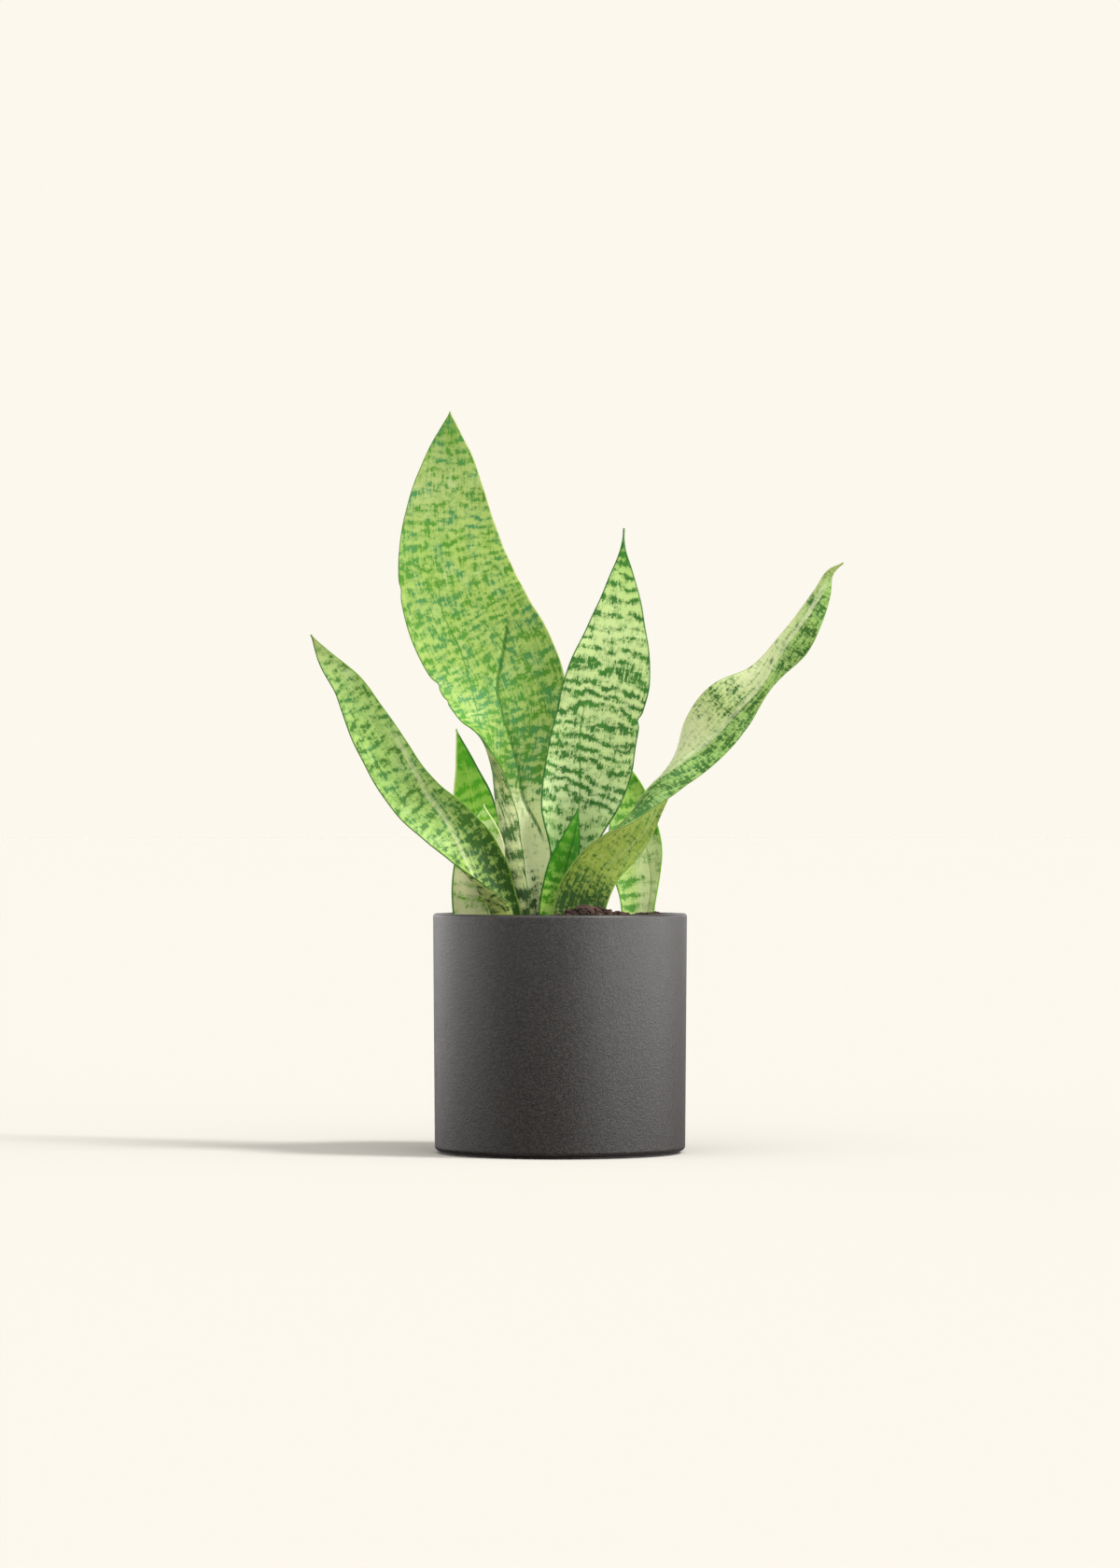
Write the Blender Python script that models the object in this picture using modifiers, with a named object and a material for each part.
"""A potted snake plant: eight separate fleshy leaves standing in potting soil, in a plain round planter.

Metres, +Z up.  The origin is the centre of the planter's flat foot, and -Y is the front.
"""

import math

import bmesh
import bpy
import numpy as np

MM = 0.001
GAP = 0.3 * MM  # clearance between the soil and the planter
SOCKET_GAP = 0.5 * MM  # clearance of the soil around each leaf's base

# Planter: a straight cylinder with a rounded lip and a shallow foot.
POT_HEIGHT = 128 * MM
POT_RIM_RADIUS = 68 * MM
POT_BASE_RADIUS = 67 * MM
POT_WALL = 5 * MM
POT_FLOOR = 7 * MM
LIP_ROUND = 2.2 * MM
BASE_ROUND = 2.5 * MM
INNER_CORNER = 6 * MM
FOOT_RADIUS = 63.5 * MM
FOOT_HEIGHT = 1.2 * MM
TURNS = 60  # facets around the planter
ARC_STEPS = 4

# Soil: level just under the lip, heaped a little around the leaves.
SOIL_LEVEL = 121.5 * MM
SOIL_RINGS = 9
SOIL_FACETS = 48
SOIL_HEAPS = (  # x, y, height, radius
    (0 * MM, 0 * MM, 3.0 * MM, 46 * MM),
    (13 * MM, -36 * MM, 8.0 * MM, 15 * MM),
    (30 * MM, -30 * MM, 4.0 * MM, 12 * MM),
    (50 * MM, 8 * MM, 4.5 * MM, 13 * MM),
)

# Leaves: thick in the middle of the base, thin along the margins and at the tip.
LEAF_BASE_THICKNESS = 3.2 * MM
LEAF_TIP_THICKNESS = 1.2 * MM
MARGIN_THICKNESS = 0.8 * MM
TIP_HALF_WIDTH = 0.5 * MM

# Each leaf is a list of cross-sections from the buried base to the tip, in millimetres and degrees:
# centre x, y, z, half-width left of the midrib, half-width right of it, turn about the leaf's own
# axis (0 faces the front, minus swings the left margin forward), and curl of the margins towards
# the inner face (0 is flat, 90 is a half pipe).
LEAVES = {
    "leaf_tall": (
        (-13.0, 12, 104, 13, 13, -50, 105),
        (-16.0, 13, 131, 16, 17, -50, 120),
        (-20.0, 15, 162, 22, 28, -50, 125),
        (-23.0, 17, 188, 27, 30, -45, 118),
        (-23.0, 19, 210, 31, 31, -36, 82),
        (-24.5, 22, 232, 33, 33, -20, 42),
        (-34.5, 26, 260.5, 34.5, 34.5, -6, 22),
        (-49.5, 29, 288.5, 34, 33.5, 0, 14),
        (-58.5, 31, 319, 29.8, 29.5, 0, 12),
        (-60.5, 32, 346.5, 23, 22.7, 0, 10),
        (-60.0, 30, 379.5, 10.8, 10.8, 0, 8),
        (-59.5, 28, 399, 0, 0, 0, 5),
    ),
    "leaf_centre": (
        (6.0, 4, 104, 9, 9, 0, 110),
        (5.5, 3, 136, 12, 12, 0, 100),
        (6.0, 0, 162, 18, 18, 0, 92),
        (9.0, -3, 182, 22.8, 22.5, 0, 58),
        (15.0, -7, 205, 24, 24, 0, 25),
        (20.5, -12, 230, 23.6, 22, 0, 14),
        (26.0, -17, 254.5, 22.5, 22.5, 0, 10),
        (31.0, -22, 284.5, 14.3, 14.3, 0, 8),
        (33.0, -24, 309, 6.2, 6.2, 0, 8),
        (34.0, -25, 333, 0, 0, 0, 5),
    ),
    "leaf_left": (
        (-27.0, -6, 104, 13, 13, -70, 100),
        (-30.0, -7, 131, 18, 18, -75, 112),
        (-38.5, -8, 147, 18, 18.5, -48, 88),
        (-57.0, -10, 172, 16, 16, -12, 45),
        (-76.0, -14, 189, 14.5, 14.5, 0, 30),
        (-99.5, -22, 225, 12.5, 12.5, 0, 25),
        (-111.5, -27, 247.5, 8.6, 8.6, 0, 20),
        (-125.5, -31, 265, 3.8, 4.2, 0, 15),
        (-132.0, -33, 276, 0, 0, 0, 10),
    ),
    "leaf_right": (
        (10.0, -19, 104, 12, 12, 0, 60),
        (10.0, -20, 131, 16.5, 16.5, 0, 60),
        (19.0, -22, 152, 15.5, 15.5, -14, 60),
        (38.5, -25, 172.5, 16, 16, -50, 72),
        (54.0, -27, 193.5, 16.5, 16, -92, 85),
        (65.5, -29, 207, 13, 15, -135, 60),
        (77.5, -31, 219.5, 13, 17.5, -175, 42),
        (92.0, -35, 237, 14, 18.5, -195, 40),
        (106.5, -39, 252, 8, 10, -195, 40),
        (119.5, -43, 272.5, 13.5, 5, -165, 40),
        (137.0, -46, 299, 7, 2.8, -155, 35),
        (143.0, -46, 308.5, 1.8, 2.2, -165, 25),
        (149.5, -45, 313.5, 0, 0, -170, 10),
    ),
    "leaf_back_left": (
        (-36.0, 26, 104, 6, 6, 0, 40),
        (-38.0, 28, 131, 9, 9, 0, 40),
        (-42.0, 32, 163, 13, 13, 0, 35),
        (-47.5, 37, 190, 11, 11, 0, 30),
        (-51.5, 41, 208, 5.8, 5.8, 0, 25),
        (-56.5, 45, 227.5, 0, 0, 0, 10),
    ),
    "leaf_short_left": (
        (-46.0, 9, 104, 9, 9, 0, 50),
        (-45.5, 8, 130, 14, 14, 0, 50),
        (-44.5, 6, 148, 14.5, 15.8, 0, 45),
        (-42.0, 5, 170, 10, 11.5, 0, 35),
        (-41.0, 6, 186.5, 0, 0, 0, 30),
    ),
    "leaf_front_small": (
        (-4.5, -11, 104, 6, 6, 0, 50),
        (-3.5, -12, 132, 8.5, 8.5, 0, 50),
        (2.0, -15, 155, 8.6, 8.6, 0, 45),
        (6.5, -18, 170, 4.6, 4.6, 0, 30),
        (9.5, -20, 184, 0, 0, 0, 10),
    ),
    "leaf_back_right": (
        (40.0, 18, 104, 8, 8, 0, 40),
        (42.0, 19, 131, 10, 10, 0, 40),
        (40.5, 22, 160, 15, 15.5, 0, 35),
        (37.5, 27, 190, 10, 10.5, 0, 30),
        (33.0, 31, 213, 0, 0, 0, 10),
    ),
}
ROWS_PER_SECTION = 2.6  # mesh rows for each stretch between two cross-sections
LEAF_COLUMNS = 8

LEAF_COLOURS = {
    "leaf_tall": (0.30, 0.47, 0.12),
    "leaf_centre": (0.52, 0.64, 0.36),
    "leaf_left": (0.16, 0.33, 0.09),
    "leaf_right": (0.24, 0.34, 0.09),
    "leaf_back_left": (0.12, 0.44, 0.06),
    "leaf_short_left": (0.60, 0.62, 0.33),
    "leaf_front_small": (0.08, 0.28, 0.05),
    "leaf_back_right": (0.50, 0.62, 0.34),
}
POT_COLOUR = (0.055, 0.052, 0.052)
SOIL_COLOUR = (0.045, 0.020, 0.014)


def clear_scene():
    for obj in list(bpy.data.objects):
        bpy.data.objects.remove(obj)


def make_collection(name):
    collection = bpy.data.collections.new(name)
    bpy.context.scene.collection.children.link(collection)
    return collection


def make_material(name, colour, roughness):
    material = bpy.data.materials.new(name)
    material.use_nodes = True
    shader = material.node_tree.nodes["Principled BSDF"]
    shader.inputs["Base Color"].default_value = (*colour, 1.0)
    shader.inputs["Roughness"].default_value = roughness
    shader.inputs["Metallic"].default_value = 0.0
    return material


def add_object(name, mesh, collection, material=None):
    obj = bpy.data.objects.new(name, mesh)
    collection.objects.link(obj)
    if material:
        mesh.materials.append(material)
    return obj


def arc(centre_r, centre_z, radius, start_degrees, end_degrees):
    """Points (r, z) of a round corner, both ends included."""
    angles = np.radians(np.linspace(start_degrees, end_degrees, ARC_STEPS + 1))
    return [(centre_r + radius * math.cos(a), centre_z + radius * math.sin(a)) for a in angles]


# ---- Planter ----------------------------------------------------------------------------------


def pot_profile():
    """(r, z) from the middle of the inner floor, up inside, over the lip, down outside, under the foot."""
    inner_top = POT_RIM_RADIUS - POT_WALL
    inner_bottom = POT_BASE_RADIUS - POT_WALL
    profile = [(0.0, POT_FLOOR)]
    profile += arc(inner_bottom - INNER_CORNER, POT_FLOOR + INNER_CORNER, INNER_CORNER, -90, 0)
    profile += arc(inner_top + LIP_ROUND, POT_HEIGHT - LIP_ROUND, LIP_ROUND, 180, 90)
    profile += arc(POT_RIM_RADIUS - LIP_ROUND, POT_HEIGHT - LIP_ROUND, LIP_ROUND, 90, 0)
    profile += arc(POT_BASE_RADIUS - BASE_ROUND, FOOT_HEIGHT + BASE_ROUND, BASE_ROUND, 0, -90)
    profile += [(FOOT_RADIUS, FOOT_HEIGHT), (FOOT_RADIUS, 0.0), (0.0, 0.0)]
    return profile


def make_pot(collection):
    profile = pot_profile()
    mesh = bpy.data.meshes.new("pot")
    edges = [(i, i + 1) for i in range(len(profile) - 1)]
    mesh.from_pydata([(r, 0.0, z) for r, z in profile], edges, [])
    pot = add_object("pot", mesh, collection, make_material("pot_ceramic", POT_COLOUR, 0.55))
    screw = pot.modifiers.new("turn", "SCREW")
    screw.axis = "Z"
    screw.angle = math.tau
    screw.steps = TURNS
    screw.render_steps = TURNS
    screw.use_merge_vertices = True
    screw.merge_threshold = 0.00005
    screw.use_smooth_shade = True
    return pot


# ---- Leaves -----------------------------------------------------------------------------------


def smooth_through(knots, values, at):
    """A smooth curve through the values at the knots, read at the given places."""
    spans = np.diff(knots)
    slopes = np.diff(values, axis=0) / spans[:, None]
    before, after = spans[:-1, None], spans[1:, None]
    inner = (slopes[:-1] * after + slopes[1:] * before) / (before + after)
    tangents = np.vstack([slopes[:1], inner, slopes[-1:]])
    index = np.clip(np.searchsorted(knots, at, side="right") - 1, 0, len(knots) - 2)
    span = spans[index][:, None]
    x = ((at - knots[index]) / spans[index])[:, None]
    return (
        (2 * x**3 - 3 * x**2 + 1) * values[index]
        + (x**3 - 2 * x**2 + x) * span * tangents[index]
        + (3 * x**2 - 2 * x**3) * values[index + 1]
        + (x**3 - x**2) * span * tangents[index + 1]
    )


def blade_points(sections, rows, columns, grow=0.0):
    """Points [row, column] of a leaf's middle surface. grow widens it and lengthens its base."""
    table = np.array(sections, dtype=float)
    table[:, :5] *= MM
    table[:, 5:] = np.radians(table[:, 5:])
    lengths = np.linalg.norm(np.diff(table[:, :3], axis=0), axis=1)
    knots = np.concatenate([[0.0], np.cumsum(lengths)])
    at = np.linspace(0.0, knots[-1], rows)
    values = smooth_through(knots, table, at)
    centre = values[:, :3]
    left = np.maximum(values[:, 3], TIP_HALF_WIDTH) + grow
    right = np.maximum(values[:, 4], TIP_HALF_WIDTH) + grow
    turn = values[:, 5:6]
    curl = values[:, 6:7]

    tangent = np.gradient(centre, axis=0)
    tangent /= np.linalg.norm(tangent, axis=1, keepdims=True)
    facing = np.array([0.0, -1.0, 0.0])
    facing = facing - (tangent @ facing)[:, None] * tangent
    facing /= np.linalg.norm(facing, axis=1, keepdims=True)
    sideways = np.cross(tangent, facing)
    across = sideways * np.cos(turn) + facing * np.sin(turn)
    inward = facing * np.cos(turn) - sideways * np.sin(turn)
    centre[0] -= tangent[0] * 2 * grow

    v = np.linspace(-1.0, 1.0, columns)
    width = np.where(v < 0, left[:, None], right[:, None])
    depth = (left + right) / 4 * (1 - np.cos(curl[:, 0])) / curl[:, 0]
    reach = width * np.sin(curl * v) / curl
    rise = width * (1 - np.cos(curl * v)) / curl - depth[:, None]
    return centre[:, None] + across[:, None] * reach[..., None] + inward[:, None] * rise[..., None]


def leaf_thickness(rows, columns):
    """Full thickness at every grid point of a leaf."""
    u = np.linspace(0.0, 1.0, rows)[:, None]
    v = np.linspace(-1.0, 1.0, columns)[None, :]
    core = LEAF_BASE_THICKNESS + (LEAF_TIP_THICKNESS - LEAF_BASE_THICKNESS) * np.sqrt(u)
    return MARGIN_THICKNESS + (core - MARGIN_THICKNESS) * (1 - v**2)


def make_blade(name, sections, collection, material=None, grow=0.0):
    """A grid laid on the leaf's middle surface and thickened both ways."""
    rows = round((len(sections) - 1) * ROWS_PER_SECTION) + 1
    columns = LEAF_COLUMNS + 1
    points = blade_points(sections, rows, columns, grow)
    thickness = leaf_thickness(rows, columns) + 2 * grow

    grid = bmesh.new()
    bmesh.ops.create_grid(grid, x_segments=columns - 1, y_segments=rows - 1, size=1.0)
    grid.verts.ensure_lookup_table()
    places = [
        (round((vert.co.y + 1) / 2 * (rows - 1)), round((vert.co.x + 1) / 2 * (columns - 1)))
        for vert in grid.verts
    ]
    for vert, (row, column) in zip(grid.verts, places):
        vert.co = points[row, column]
    mesh = bpy.data.meshes.new(name)
    grid.to_mesh(mesh)
    grid.free()
    mesh.shade_smooth()

    leaf = add_object(name, mesh, collection, material)
    group = leaf.vertex_groups.new(name="thickness")
    for index, (row, column) in enumerate(places):
        group.add([index], thickness[row, column] / thickness.max(), "REPLACE")
    solidify = leaf.modifiers.new("fleshy", "SOLIDIFY")
    solidify.thickness = thickness.max()
    solidify.offset = 0.0
    solidify.vertex_group = group.name
    return leaf


def make_leaves(collection, cutters):
    sockets = []
    for name, sections in LEAVES.items():
        material = make_material(name, LEAF_COLOURS[name], 0.42)
        make_blade(name, sections, collection, material)
        cutter = make_blade(f"{name}_socket", sections, cutters, grow=SOCKET_GAP)
        cutter.hide_render = True
        cutter.display_type = "WIRE"
        sockets.append(cutter)
    return sockets


# ---- Soil -------------------------------------------------------------------------------------


def soil_height(x, y):
    bumps = [h * math.exp(-((x - cx) ** 2 + (y - cy) ** 2) / (2 * (r / 1.6) ** 2)) for cx, cy, h, r in SOIL_HEAPS]
    return SOIL_LEVEL + sum(bumps)


def soil_profile():
    """(r, z) down the middle of the top, out over the surface, down the side and under the bottom."""
    corner = INNER_CORNER - GAP
    bottom = POT_FLOOR + GAP
    side_bottom = POT_BASE_RADIUS - POT_WALL - GAP
    taper = (POT_RIM_RADIUS - POT_BASE_RADIUS) * (SOIL_LEVEL - POT_FLOOR) / (POT_HEIGHT - POT_FLOOR)
    side_top = side_bottom + taper - 0.1 * MM
    surface = [(side_top * ring / SOIL_RINGS, SOIL_LEVEL) for ring in range(SOIL_RINGS + 1)]
    lower = arc(side_bottom - corner, bottom + corner, corner, 0, -90)
    return surface + lower + [(0.0, bottom)]


def make_soil(collection, sockets):
    profile = soil_profile()
    shape = bmesh.new()
    verts = [shape.verts.new((r, 0.0, z)) for r, z in profile]
    edges = [shape.edges.new(pair) for pair in zip(verts, verts[1:])]
    bmesh.ops.spin(
        shape,
        geom=verts + edges,
        cent=(0.0, 0.0, 0.0),
        axis=(0.0, 0.0, 1.0),
        angle=math.tau,
        steps=SOIL_FACETS,
        use_merge=True,
    )
    bmesh.ops.remove_doubles(shape, verts=shape.verts, dist=0.00001)
    bmesh.ops.recalc_face_normals(shape, faces=shape.faces)
    for vert in shape.verts:
        if vert.co.z > SOIL_LEVEL - MM:
            vert.co.z = soil_height(vert.co.x, vert.co.y)
    mesh = bpy.data.meshes.new("soil")
    shape.to_mesh(mesh)
    shape.free()
    soil = add_object("soil", mesh, collection, make_material("soil", SOIL_COLOUR, 0.95))
    for socket in sockets:
        cut = soil.modifiers.new(socket.name, "BOOLEAN")
        cut.operation = "DIFFERENCE"
        cut.solver = "EXACT"
        cut.object = socket
    return soil


def main():
    clear_scene()
    plant = make_collection("potted_snake_plant")
    cutters = make_collection("cutters")
    make_pot(plant)
    sockets = make_leaves(plant, cutters)
    make_soil(plant, sockets)


main()
